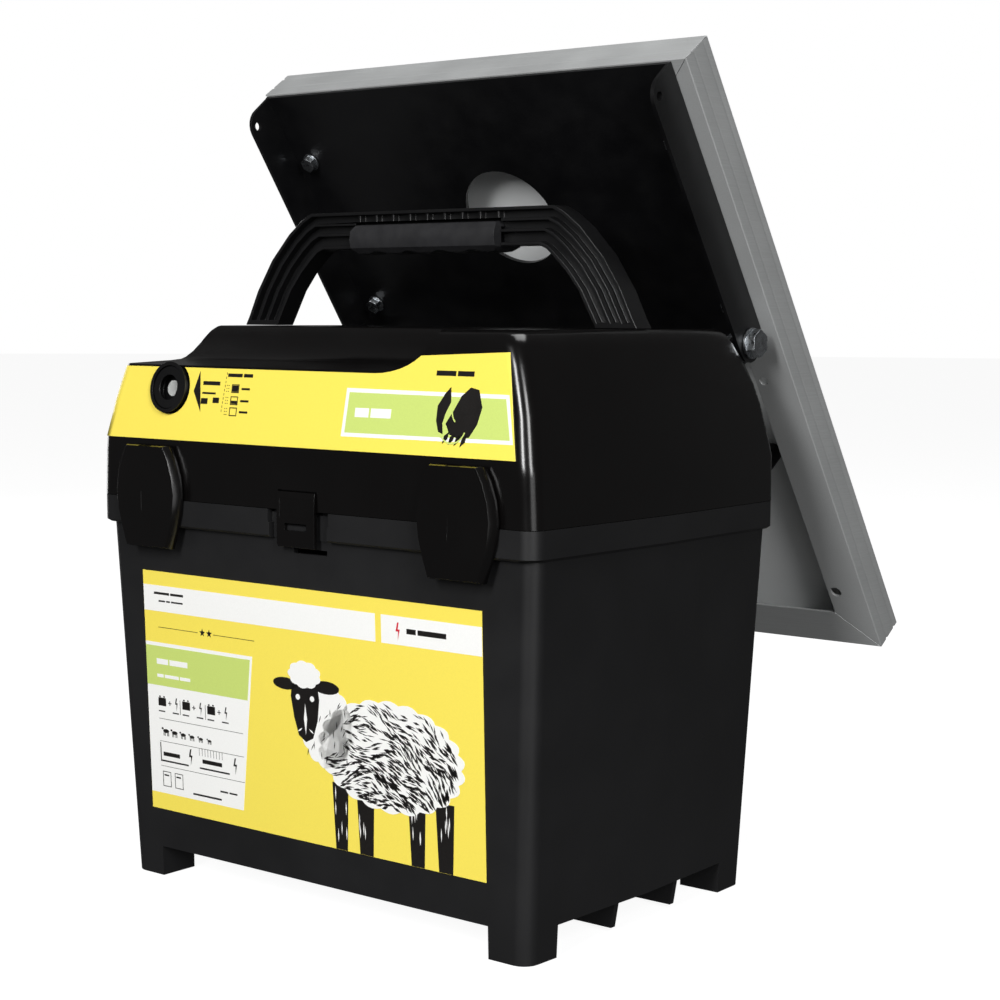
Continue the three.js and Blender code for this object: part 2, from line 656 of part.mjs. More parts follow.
// ---------- mount bracket on the lid's rear slope ----------
function makeMountBracket() {
  const x0 = BRACKET.x - BRACKET.half + BRACKET.t + GAP, x1 = BRACKET.x + BRACKET.half - BRACKET.t - GAP;
  const slope = [[95.2, 275.4], [91, 284.4], [83.2, 293.6], [84.6, 294.8], [92.4, 285.3], [96.7, 276.2]];
  const ear = [
    [91, 284.4], [83.2, 293.6], [84.6, 294.8], ...arc(AXIS.y, AXIS.z, 8.6, 120, -50, 8), [95, 280],
  ];
  const ears = [x0, x1 - 2].map((x) => slabYZ(ear, x, x + 2));
  const bore = rod("x", [AXIS.y, AXIS.z], -160, 160, PIVOT_R + GAP, 16);
  return union(slabYZ(slope, x0, x1), ...ears).subtract(bore);
}

// Both drawn at the right side of the bracket, the left ones mirrored about its middle.
function atPivot(side, ...parts) {
  const g = union(...parts);
  const placed = side > 0 ? g : g.mirror([1, 0, 0]);
  return placed.translate([BRACKET.x, AXIS.y, AXIS.z]);
}
function pivotBolt(side) {
  const x = BRACKET.half + GAP;
  return atPivot(
    side,
    rod("x", [0, 0], x, x + 1.5, 8.2, 28), rod("x", [0, 0], x + 1.4, x + 6.2, 7.5, 6),
    rod("x", [0, 0], x - 13, x + 0.5, PIVOT_R, 16),
  );
}
function pivotNut(side) {
  const x = BRACKET.half - 2 * BRACKET.t - 2 * GAP - 0.1;
  return atPivot(side, rod("x", [0, 0], x - 5.6, x, 7.5, 6))
    .subtract(rod("x", [AXIS.y, AXIS.z], -160, 160, PIVOT_R + GAP, 16));
}

// ---------- assembly ----------
function meshOf(name, body, mat) {
  const m = body.getMesh();
  const g = new THREE.BufferGeometry();
  const v = new Float32Array(m.numVert * 3);
  for (let i = 0; i < m.numVert; i++)
    v.set(m.vertProperties.subarray(i * m.numProp, i * m.numProp + 3), i * 3);
  g.setAttribute("position", new THREE.BufferAttribute(v, 3));
  g.setIndex(new THREE.BufferAttribute(new Uint32Array(m.triVerts), 1));
  const mesh = new THREE.Mesh(g, mat);
  mesh.name = name;
  return mesh;
}

const root = new THREE.Group();
function add(name, body, mat) {
  root.add(meshOf(name, body.translate([0, SHIFT_Y, 0]), mat));
}

add("base_box", makeBase(), MAT.base);
add("base_seal", makeSeal(), MAT.rubber);
add("base_label", makeBaseLabel(), MAT.yellow);
add("battery", makeBattery(), MAT.battery);
add("battery_post_plus", makePost(-60), MAT.red);
add("battery_post_minus", makePost(60), MAT.black);
add("lid_shell", makeLid(), MAT.lid);
add("lid_label", makeLidLabel(), MAT.yellow);
add("lid_clip", makeClip(), MAT.lid);
add("lid_tray", makeTray(), MAT.black);
add("circuit_board", makeBoard(), MAT.green);
add("transformer_core", makeTransformer(), MAT.lead);
add("transformer_coil", makeCoil(), MAT.copper);
add("capacitor", makeCapacitor(), MAT.black);
add("button_bezel", makeBezel(), MAT.black);
add("button_cap", makeButton(), MAT.black);
add("button_lamp", makeLens(), MAT.lens);
add("handle_arch", makeHandle(), MAT.black);
add("handle_grip", makeGrip(), MAT.grip);
for (const [side, s] of [["left", -1], ["right", 1]]) {
  add("latch_" + side, makeLatch(s * LATCH_X), MAT.lid);
  add("latch_pin_" + side, makeLatchPin(s * LATCH_X), MAT.zinc);
  add("hinge_pin_" + side, makeHingePin(s), MAT.zinc);
  add("pivot_bolt_" + side, pivotBolt(s), MAT.zinc);
  add("pivot_nut_" + side, pivotNut(s), MAT.zinc);
}
for (const [name, x, mat] of [["fence", TERMINALS[0], MAT.red], ["earth", TERMINALS[1], MAT.black]]) {
  add(name + "_stud", makeStud(x), MAT.brass);
  add(name + "_knob", makeKnob(x), mat);
}
add("mount_bracket", makeMountBracket(), MAT.bracket);
for (const [name, body] of Object.entries(panelFrame())) add(name, onPanel(body), MAT.alu);
add("pv_laminate", onPanel(makeLaminate()), MAT.backsheet);
add("junction_box", onPanel(makeJunctionBox()), MAT.black);
add("panel_bracket", onPanel(makePanelBracket()), MAT.bracket);
BOLT_AT.forEach(([x, s], i) => {
  add("panel_bolt_" + (i + 1), onPanel(hexBolt(x, s, -BRACKET.t - 2 * GAP, 7.5)), MAT.zinc);
  add("panel_nut_" + (i + 1), onPanel(nut(x, s, 1.6 + GAP, 6)), MAT.zinc);
});

export default root;
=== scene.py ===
"""Looks of the battery fence energizer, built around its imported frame. Metres, +Z up, front towards -Y."""

import math
import random

import bmesh
import bpy
from mathutils import Matrix, Vector


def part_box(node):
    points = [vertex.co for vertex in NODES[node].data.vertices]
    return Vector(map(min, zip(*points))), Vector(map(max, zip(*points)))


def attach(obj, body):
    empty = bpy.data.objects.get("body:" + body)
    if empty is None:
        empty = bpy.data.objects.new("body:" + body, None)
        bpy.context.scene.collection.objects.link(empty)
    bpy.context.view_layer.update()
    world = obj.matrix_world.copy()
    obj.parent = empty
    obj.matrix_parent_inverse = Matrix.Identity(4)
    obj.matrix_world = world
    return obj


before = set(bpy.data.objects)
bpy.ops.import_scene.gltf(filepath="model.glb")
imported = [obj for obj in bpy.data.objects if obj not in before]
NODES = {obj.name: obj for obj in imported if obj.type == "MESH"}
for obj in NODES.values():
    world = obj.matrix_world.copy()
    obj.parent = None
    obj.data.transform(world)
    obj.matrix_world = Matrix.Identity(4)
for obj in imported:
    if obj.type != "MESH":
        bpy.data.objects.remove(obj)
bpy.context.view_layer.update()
MM = 0.001
TILT = math.radians(55.45)  # the panel's lean from the horizontal
LID_LEAN = math.radians(10)  # the lid's front leans back above its vertical strip
WALL_LEAN = math.atan(math.tan(math.radians(2)) * 0.9)  # the base's draft


# ---------- materials ----------
def linear(hex_colour):
    """A '#rrggbb' screen colour as linear RGBA."""
    parts = [int(hex_colour[i : i + 2], 16) / 255 for i in (1, 3, 5)]
    return [p / 12.92 if p < 0.04045 else ((p + 0.055) / 1.055) ** 2.4 for p in parts] + [1]


class Nodes:
    """A material with a Principled shader, and short calls that add nodes to it."""

    def __init__(self, name, colour, rough, metal=0.0, **inputs):
        self.mat = bpy.data.materials.new(name)
        self.mat.use_nodes = True
        self.tree = self.mat.node_tree
        self.shader = self.tree.nodes["Principled BSDF"]
        self.coord = self.tree.nodes.new("ShaderNodeTexCoord").outputs["Object"]
        self.colour = colour
        self.shader.inputs["Base Color"].default_value = colour
        self.shader.inputs["Roughness"].default_value = rough
        self.shader.inputs["Metallic"].default_value = metal
        for key, value in inputs.items():
            self.shader.inputs[key.replace("_", " ")].default_value = value
        self.mat.diffuse_color = colour

    def link(self, a, b):
        self.tree.links.new(a, b)

    def stretched(self, scale, turn=(0, 0, 0)):
        node = self.tree.nodes.new("ShaderNodeMapping")
        node.inputs["Rotation"].default_value = turn
        node.inputs["Scale"].default_value = scale
        self.link(self.coord, node.inputs["Vector"])
        return node.outputs["Vector"]

    def noise(self, scale, detail=2.0, vector=None):
        node = self.tree.nodes.new("ShaderNodeTexNoise")
        node.inputs["Scale"].default_value = scale
        node.inputs["Detail"].default_value = detail
        self.link(vector or self.coord, node.inputs["Vector"])
        return node.outputs["Fac"]

    def mapped(self, value, low, high, start=0.3, end=0.7):
        node = self.tree.nodes.new("ShaderNodeMapRange")
        node.inputs["From Min"].default_value = start
        node.inputs["From Max"].default_value = end
        node.inputs["To Min"].default_value = low
        node.inputs["To Max"].default_value = high
        self.link(value, node.inputs["Value"])
        return node.outputs["Result"]

    def mix(self, factor, a, b):
        node = self.tree.nodes.new("ShaderNodeMix")
        node.data_type = "RGBA"
        self.link(factor, node.inputs[0])
        for socket, value in ((node.inputs[6], a), (node.inputs[7], b)):
            if hasattr(value, "is_linked"):
                self.link(value, socket)
            else:
                socket.default_value = value
        return node.outputs[2]

    def tinted(self, factor, gain):
        """The base colour, varied towards gain times itself where factor is 1."""
        c = self.colour
        lit = [min(1, v * gain) for v in c[:3]] + [1]
        out = self.mix(factor, c, lit)
        self.link(out, self.shader.inputs["Base Color"])
        return out

    def rough(self, value):
        self.link(value, self.shader.inputs["Roughness"])

    def bump(self, height, depth_mm, strength=0.5):
        node = self.tree.nodes.new("ShaderNodeBump")
        node.inputs["Strength"].default_value = strength
        node.inputs["Distance"].default_value = depth_mm * MM
        self.link(height, node.inputs["Height"])
        previous = self.shader.inputs["Normal"]
        if previous.is_linked:
            self.link(previous.links[0].from_socket, node.inputs["Normal"])
        self.link(node.outputs["Normal"], previous)


def moulded(name, colour, rough, grain=900, depth=0.05, spread=0.06, gain=1.5, **inputs):
    """Injection-moulded plastic: fine spark-eroded grain, faint flow marks, uneven gloss."""
    m = Nodes(name, linear(colour), rough, **inputs)
    m.tinted(m.mapped(m.noise(9, 3), 0, 1, 0.35, 0.75), gain)
    m.rough(m.mapped(m.noise(38, 4), rough - spread, rough + spread))
    m.bump(m.noise(grain, 3), depth, 0.35)
    m.bump(m.noise(22, 1), 0.25, 0.12)
    return m.mat


def brushed(name, colour, rough, stretch, turn=(0, 0, 0), gain=0.78, metal=1.0):
    """Metal with fine lines drawn along one direction, and duller patches."""
    m = Nodes(name, linear(colour), rough, metal)
    lines = m.noise(1, 3, m.stretched(stretch, turn))
    m.tinted(m.mapped(lines, 0, 1, 0.3, 0.8), gain)
    m.rough(m.mapped(m.noise(30, 3), rough - 0.07, rough + 0.09))
    m.bump(lines, 0.03, 0.25)
    return m.mat


def printed(name, colour, gain=0.94):
    """Ink on a smooth film, with a faint press grain."""
    m = Nodes(name, linear(colour), 0.34, IOR=1.45)
    m.tinted(m.mapped(m.noise(1400, 1), 0, 1), gain)
    m.rough(m.mapped(m.noise(45, 3), 0.3, 0.4))
    m.bump(m.noise(160, 2), 0.02, 0.2)
    return m.mat


def powder_coat(name, colour):
    """Black powder coat on sheet steel, with its fine orange peel."""
    m = Nodes(name, linear(colour), 0.36)
    m.tinted(m.mapped(m.noise(14, 3), 0, 1), 1.7)
    m.rough(m.mapped(m.noise(60, 3), 0.3, 0.44))
    m.bump(m.noise(420, 2), 0.06, 0.4)
    return m.mat


def zinc_plate(name):
    m = Nodes(name, linear("#c4c8cc"), 0.27, 1.0)
    m.tinted(m.mapped(m.noise(260, 4), 0, 1), 0.62)
    m.rough(m.mapped(m.noise(500, 2), 0.2, 0.38))
    m.bump(m.noise(900, 2), 0.03, 0.3)
    return m.mat


def soft_grip(name):
    """Rubbery grip skin with a fine pebbled grain."""
    m = Nodes(name, linear("#1b1b1d"), 0.55)
    m.tinted(m.mapped(m.noise(30, 3), 0, 1), 1.35)
    m.rough(m.mapped(m.noise(120, 3), 0.46, 0.64))
    pebbles = m.tree.nodes.new("ShaderNodeTexVoronoi")
    pebbles.inputs["Scale"].default_value = 1100
    m.link(m.coord, pebbles.inputs["Vector"])
    m.bump(pebbles.outputs["Distance"], 0.08, 0.35)
    return m.mat


def solar_cell(name):
    """A cell's blue-black silicon with its fine printed fingers across."""
    m = Nodes(name, linear("#0b1430"), 0.16, Coat_Weight=0.8, Coat_Roughness=0.05)
    wave = m.tree.nodes.new("ShaderNodeTexWave")
    wave.bands_direction = "Y"
    wave.inputs["Scale"].default_value = 150
    m.link(m.stretched((1, 1, 1), (TILT, 0, 0)), wave.inputs["Vector"])
    crystals = m.tree.nodes.new("ShaderNodeTexVoronoi")
    crystals.inputs["Scale"].default_value = 130
    m.link(m.coord, crystals.inputs["Vector"])
    base = m.mix(m.mapped(crystals.outputs["Distance"], 0, 1, 0.1, 0.9), linear("#0a1230"), linear("#14214a"))
    out = m.mix(m.mapped(wave.outputs["Fac"], 0, 0.35, 0.9, 1.0), base, linear("#8f97a8"))
    m.link(out, m.shader.inputs["Base Color"])
    return m.mat


def clear_lamp(name):
    m = Nodes(name, linear("#eef0ee"), 0.08, Transmission_Weight=0.55, IOR=1.49)
    m.tinted(m.mapped(m.noise(300, 2), 0, 1), 0.85)
    m.rough(m.mapped(m.noise(200, 2), 0.05, 0.16))
    return m.mat


def board(name):
    m = Nodes(name, linear("#1d5b34"), 0.4)
    tracks = m.tree.nodes.new("ShaderNodeTexBrick")
    tracks.inputs["Scale"].default_value = 60
    tracks.inputs["Color1"].default_value = linear("#1d5b34")
    tracks.inputs["Color2"].default_value = linear("#24703f")
    tracks.inputs["Mortar"].default_value = linear("#5f8f3c")
    m.link(m.coord, tracks.inputs["Vector"])
    m.link(tracks.outputs["Color"], m.shader.inputs["Base Color"])
    m.bump(tracks.outputs["Fac"], 0.1, 0.4)
    return m.mat


MATS = {
    "base": moulded("base_plastic", "#151516", 0.5, 1000, 0.06, IOR=1.42),
    "lid": moulded("lid_plastic", "#060505", 0.2, 1500, 0.012, 0.04, 1.4),
    "black": moulded("black_plastic", "#0b0b0c", 0.33, 1100, 0.04),
    "arch": moulded("arch_plastic", "#0b0b0c", 0.36, 1100, 0.04),
    "knob_red": moulded("red_plastic", "#a81c16", 0.4, 1000, 0.05, 0.06, 0.8),
    "case": moulded("battery_case", "#33373b", 0.5, 700, 0.08),
    "seal": moulded("seal_rubber", "#161618", 0.75, 500, 0.1),
    "yellow": printed("label_yellow", "#fde85f", 0.97),
    "white": printed("label_white", "#fbfbf8", 0.97),
    "green": printed("label_green", "#cde079", 0.96),
    "ink": printed("label_ink", "#161413", 1.6),
    "red_ink": printed("label_red", "#d3243a"),
    "bracket": powder_coat("bracket_paint", "#060607"),
    "zinc": zinc_plate("zinc_steel"),
    "brass": brushed("terminal_brass", "#c9a252", 0.28, (900, 60, 900)),
    "copper": brushed("copper_wire", "#b06a38", 0.3, (2500, 60, 2500)),
    "core": brushed("core_steel", "#8d8f90", 0.42, (1800, 60, 60)),
    "rail_x": brushed("frame_aluminium_across", "#c3c5c5", 0.42, (40, 2400, 2400), (TILT, 0, 0), 0.86, 0.45),
    "rail_y": brushed("frame_aluminium_along", "#c3c5c5", 0.42, (2400, 40, 2400), (TILT, 0, 0), 0.86, 0.45),
    "grip": soft_grip("grip_rubber"),
    "sheet": moulded("pv_backsheet", "#eceeee", 0.42, 700, 0.03, 0.05, 0.94),
    "cell": solar_cell("pv_cell"),
    "lamp": clear_lamp("lamp_clear"),
    "board": board("board_green"),
}


# ---------- CAD nodes ----------
def dress(node, mat, edge_mm=0.35, corner=38):
    """Gives a CAD node its material, its smooth shading and small rounded edges."""
    o = NODES[node]
    o.data.materials.clear()
    o.data.materials.append(mat)
    normals = o.data.attributes.get("custom_normal")
    if normals:
        o.data.attributes.remove(normals)
    o.data.polygons.foreach_set("use_smooth", [True] * len(o.data.polygons))
    weld = o.modifiers.new("weld", "WELD")
    weld.merge_threshold = 3e-6
    flats = o.modifiers.new("flats", "DECIMATE")
    flats.decimate_type = "DISSOLVE"
    flats.angle_limit = math.radians(0.5)
    if edge_mm:
        edge = o.modifiers.new("edge", "BEVEL")
        edge.width = edge_mm * MM
        edge.segments = 2
        edge.limit_method = "ANGLE"
        edge.angle_limit = math.radians(corner)
        edge.harden_normals = False
    smooth = o.modifiers.new("normals", "WEIGHTED_NORMAL")
    smooth.keep_sharp = True


def dress_all():
    plan = {
        "base": [("base_box", 0.7)],
        "lid": [("lid_shell", 0.8), ("lid_clip", 0.3), ("latch_left", 0.35), ("latch_right", 0.35)],
        "black": [("lid_tray", 0.3), ("capacitor", 0.4), ("button_bezel", 0.3), ("button_cap", 0.3),
                  ("junction_box", 0.6), ("battery_post_minus", 0.5), ("earth_knob", 0.4)],
        "arch": [("handle_arch", 0.45)],
        "knob_red": [("battery_post_plus", 0.5), ("fence_knob", 0.4)],
        "case": [("battery", 0.8)],
        "seal": [("base_seal", 0.2)],
        "yellow": [("base_label", 0), ("lid_label", 0)],
        "bracket": [("panel_bracket", 0.3), ("mount_bracket", 0.3)],
        "zinc": [(n, 0.2) for n in NODES if "_bolt" in n or "_nut" in n or "_pin" in n],
        "brass": [("fence_stud", 0.2), ("earth_stud", 0.2)],
        "copper": [("transformer_coil", 0.4)],
        "core": [("transformer_core", 0.3)],
        "rail_x": [("frame_rail_top", 0.2), ("frame_rail_bottom", 0.2)],
        "rail_y": [("frame_rail_left", 0.2), ("frame_rail_right", 0.2)],
        "grip": [("handle_grip", 0.6)],
        "sheet": [("pv_laminate", 0.2)],
        "lamp": [("button_lamp", 0.3)],
        "board": [("circuit_board", 0.1)],
    }
    for key, nodes in plan.items():
        for node, edge in nodes:
            dress(node, MATS[key], edge)


# ---------- new pieces ----------
def piece(name, bm, mat, body, smooth=False):
    mesh = bpy.data.meshes.new(name)
    bm.to_mesh(mesh)
    bm.free()
    mesh.materials.append(mat)
    if smooth:
        mesh.polygons.foreach_set("use_smooth", [True] * len(mesh.polygons))
    o = bpy.data.objects.new(name, mesh)
    bpy.context.scene.collection.objects.link(o)
    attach(o, body)
    return o


class Print:
    """A flat print area: x across in mm, z up in mm, on a wall that leans by an angle."""

    def __init__(self, node, lean):
        lo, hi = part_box(node)
        self.lean = lean
        self.z0 = lo.z
        self.y0 = lo.y if lean > 0 else hi.y
        if lean < 0:
            self.y0 = lo.y - math.tan(lean) * (hi.z - lo.z)
        self.left, self.right = lo.x / MM, hi.x / MM
        self.low, self.top = lo.z / MM, hi.z / MM

    def at(self, x, z, lift):
        """A point of the print, lifted off the film by lift mm."""
        zz = z * MM
        y = self.y0 + (zz - self.z0) * math.tan(self.lean)
        out = Vector((0, -math.cos(self.lean), math.sin(self.lean)))
        return Vector((x * MM, y, zz)) + out * lift * MM


def inked(name, face, shapes, mat, body, level=1, step=0.06):
    """Thin closed patches of ink, one per outline, stacked by level."""
    bm = bmesh.new()
    low, high = 0.01 + (level - 1) * step, 0.01 + level * step
    for shape in shapes:
        area = sum(
            a[0] * b[1] - b[0] * a[1] for a, b in zip(shape, shape[1:] + shape[:1])
        )
        ring = shape if area > 0 else shape[::-1]
        back = [bm.verts.new(face.at(x, z, low)) for x, z in ring]
        front = [bm.verts.new(face.at(x, z, high)) for x, z in ring]
        bm.faces.new(front)
        bm.faces.new(back[::-1])
        n = len(ring)
        for i in range(n):
            j = (i + 1) % n
            bm.faces.new((back[i], back[j], front[j], front[i]))
    return piece(name, bm, mat, body)


def rect(x, z, w, h, slant=0.0):
    return [(x, z), (x + w, z), (x + w + slant, z + h), (x + slant, z + h)]


def disc(x, z, r, rz=None, n=18, start=0.0):
    rz = rz or r
    return [
        (x + r * math.cos(start + i * 2 * math.pi / n), z + rz * math.sin(start + i * 2 * math.pi / n))
        for i in range(n)
    ]


def star(x, z, r):
    return [
        (x + (r if i % 2 == 0 else r * 0.42) * math.sin(i * math.pi / 5),
         z + (r if i % 2 == 0 else r * 0.42) * math.cos(i * math.pi / 5))
        for i in range(10)
    ]


def spark(x, z, h):
    """A generic lightning arrow."""
    return [(x + a * h, z + b * h) for a, b in
            ((0, 0.5), (0.12, 0.5), (0.02, 0.12), (0.18, 0.12), (0.02, -0.5), (0.06, 0.0), (-0.12, 0.0))]


def plus(x, z, r):
    return [rect(x - r, z - r * 0.22, 2 * r, r * 0.44), rect(x - r * 0.22, z + r * 0.22, r * 0.44, r * 0.78),
            rect(x - r * 0.22, z - r, r * 0.44, r * 0.78)]


def frame_of(x, z, w, h, t):
    """A rectangle's outline as four strips."""
    return [rect(x, z, w, t), rect(x, z + h - t, w, t), rect(x, z + t, t, h - 2 * t),
            rect(x + w - t, z + t, t, h - 2 * t)]


def small_battery(x, z, s):
    return [rect(x, z, s, s * 0.75), rect(x + s * 0.12, z + s * 0.78, s * 0.2, s * 0.14),
            rect(x + s * 0.66, z + s * 0.78, s * 0.2, s * 0.14)]


def small_beast(x, z, s):
    legs = [rect(x + k * s, z, s * 0.09, s * 0.36) for k in (0.12, 0.3, 0.62, 0.8)]
    trunk = disc(x + 0.5 * s, z + 0.5 * s, 0.44 * s, 0.2 * s, 12)
    head = disc(x, z + 0.72 * s, 0.15 * s, 0.12 * s, 10)
    return [trunk, head] + legs


def greek(x, z, widths, h=1.1, gap=0.9):
    """A line of print too small to read, as short bars."""
    out = []
    for w in widths:
        out.append(rect(x, z, w, h))
        x += w + gap
    return out


# ---------- the base's label ----------
def base_print():
    face = Print("base_label", -WALL_LEAN)
    L, R, B, T = face.left, face.right, face.low, face.top
    w, h = R - L, T - B
    X = lambda u: L + u * w
    Z = lambda v: T - v * h

    def ink(name, shapes, key, level=1):
        inked("base_print_" + name, face, shapes, MATS[key], "base", level)

    band = [rect(L + 0.1, Z(0.165), w * 0.713, h * 0.107), rect(X(0.73), Z(0.165), w * 0.2695, h * 0.107)]
    ink("band", band, "white")
    info = [(L + 0.1, Z(0.93)), (X(0.303), Z(0.93)), (X(0.347), Z(0.295)), (L + 0.1, Z(0.295))]
    ink("panel", [info], "white")
    header = [(L + 0.1, Z(0.475)), (X(0.328), Z(0.475)), (X(0.3395), Z(0.31)), (L + 0.1, Z(0.31))]
    ink("green", [header], "green", 2)
    ink("rule", [rect(X(0.045), Z(0.232), w * 0.13, 0.3), rect(X(0.225), Z(0.232), w * 0.13, 0.3),
                 star(X(0.19), Z(0.229), 2.3), star(X(0.212), Z(0.229), 2.3)], "ink")
    ink("mark", [spark(X(0.775), Z(0.115), 9)], "red_ink", 2)
    words = greek(X(0.035), Z(0.095), (12, 10), 1.3) + greek(X(0.05), Z(0.125), (5, 3, 9), 0.9)
    words += greek(X(0.8), Z(0.12), (6, 18), 2.6, 1.2)
    words += greek(X(0.14), Z(0.91), (22,), 1.0) + greek(X(0.23), Z(0.875), (6, 6), 0.9)
    ink("words", words + info_icons(X, Z), "ink", 2)
    title = greek(X(0.035), Z(0.385), (9, 14), 3, 1.2) + greek(X(0.035), Z(0.44), (5, 11, 8), 1.8, 1)
    ink("title", title, "white", 3)
    sheep(face, ink, X, Z)


def info_icons(X, Z):
    row1 = []
    for u in (0.035, 0.115, 0.197):
        row1 += small_battery(X(u), Z(0.56), 6) + plus(X(u) + 9, Z(0.545), 1.2)
        row1.append(spark(X(u) + 14, Z(0.545), 7))
        row1 += greek(X(u), Z(0.585), (5,), 0.7) + greek(X(u) + 11, Z(0.585), (5,), 0.7)
    bars = [rect(X(u), Z(0.585), 0.3, 8) for u in (0.107, 0.19)]
    herd = sum([small_beast(X(0.045) + 7 * i, Z(0.685), 5.5 - 0.4 * i) for i in range(6)], [])
    lines = [rect(X(0.035), Z(v), X(0.31) - X(0.035), 0.25) for v in (0.615, 0.71, 0.815)]
    graph = [rect(X(0.035), Z(0.79), 0.7, 10), rect(X(0.035), Z(0.795), 22, 0.9)]
    graph += [rect(X(0.045), Z(0.77), 13, 2.2), spark(X(0.135), Z(0.755), 9)]
    graph += [rect(X(0.165), Z(0.795), 23, 0.9), rect(X(0.175), Z(0.77), 15, 2.2)]
    graph += [spark(X(0.28), Z(0.755), 9)] + [rect(X(0.165) + 2.2 * i, Z(0.74), 0.25, 4) for i in range(9)]
    cans = frame_of(X(0.04), Z(0.9), 6.5, 8.5, 0.4) + frame_of(X(0.08), Z(0.9), 6.5, 8.5, 0.4)
    cans += greek(X(0.045), Z(0.855), (3.6,), 0.8) + greek(X(0.085), Z(0.855), (3.6,), 0.8)
    return row1 + bars + herd + lines + graph + cans


def fleece(cx, cz, rx, rz, bumps, depth, n_each=5):
    """An oval outline with round curls along it."""
    pts = []
    for i in range(bumps * n_each):
        a = 2 * math.pi * i / (bumps * n_each)
        swell = 1 + depth * abs(math.sin(a * bumps / 2))
        pts.append((cx + rx * swell * math.cos(a), cz + rz * swell * math.sin(a)))
    return pts


def stroke(x, z, angle, length, width):
    """A hand-drawn hatch stroke, thick in the middle."""
    c, s = math.cos(angle), math.sin(angle)
    line = ((-0.5, 0), (0, -0.5 * width / length), (0.5, 0), (0, 0.5 * width / length))
    return [(x + (a * c - b * s) * length, z + (a * s + b * c) * length) for a, b in line]


def sheep(face, ink, X, Z):
    """A generic standing sheep in pen hatching, at the print's lower right."""
    cx, cz, rx, rz = X(0.745), Z(0.60), 46, 27
    hx, hz = X(0.505), Z(0.44)
    low = face.low + 0.1
    legs = [[(x, low), (x + w, low), (x + w + 1.5, cz - 18), (x - 1.5, cz - 18)]
            for x, w in ((X(0.585), 8), (X(0.655), 9), (X(0.80), 8.5), (X(0.875), 9))]
    ink("legs", legs, "ink")
    ink("body", [fleece(cx, cz, rx, rz, 22, 0.06)], "white", 2)
    ink("neck", [fleece(X(0.565), Z(0.52), 17, 21, 13, 0.08)], "white", 2)
    ink("ears", [disc(hx + 15, hz + 9, 9, 3.4), disc(hx - 14, hz + 8, 8.5, 3.2)], "ink", 3)
    muzzle = [
        (-8.5, 12), (-10, 2), (-8, -9), (-5, -18), (0, -21), (5, -18.5), (8.5, -9), (10, 2), (8.5, 12), (0, 15),
    ]
    ink("face", [[(hx + a, hz + b) for a, b in muzzle]], "ink", 3)
    ink("cap", [fleece(hx, hz + 14, 10.5, 6.5, 9, 0.12)], "white", 4)
    eyes = [disc(hx - 5, hz + 2, 1.5), disc(hx + 5, hz + 2, 1.5), stroke(hx, hz - 9, math.pi / 2, 16, 2.2)]
    mouth = [stroke(hx - 4, hz - 15, 0.6, 4, 0.9), stroke(hx + 4, hz - 15, -0.6, 4, 0.9)]
    ink("eyes", eyes + mouth, "white", 4)
    rnd = random.Random(11)
    strokes = 620
    hatch = []
    while len(hatch) < strokes:
        a, r = rnd.uniform(0, 2 * math.pi), math.sqrt(rnd.random()) * 0.97
        x, z = cx + rx * r * math.cos(a), cz + rz * r * math.sin(a)
        shade = 0.5 + 0.5 * ((x - cx) / rx * 0.5 - (z - cz) / rz * 0.7)
        if rnd.random() > 0.35 + 0.65 * shade or (x < X(0.62) and abs(z - Z(0.52)) < 14):
            continue
        swirl = -0.35 - 0.7 * (x - cx) / rx + 0.5 * math.sin(x * 0.16) * math.cos(z * 0.2)
        angle = swirl + rnd.uniform(-0.25, 0.25)
        length = rnd.uniform(4, 7.5)
        hatch.append(stroke(x, z, angle, length, rnd.uniform(0.5, 1.0 + shade)))
    ink("hatch", hatch, "ink", 3)
    chest = [
        stroke(X(0.565) + 14 * math.sin(i * 1.7), Z(0.52) - 18 + i * 0.95, 1.2 + 0.5 * math.sin(i), 4.5, 0.6)
        for i in range(34)
    ]
    ink("chest", chest, "ink", 3)
    fur = [stroke(x + rnd.uniform(0, 8), rnd.uniform(low + 5, cz - 20), math.pi / 2, 7, 0.7)
           for x in (X(0.585), X(0.655), X(0.80), X(0.875)) for _ in range(6)]
    ink("leg_fur", fur, "white", 3)


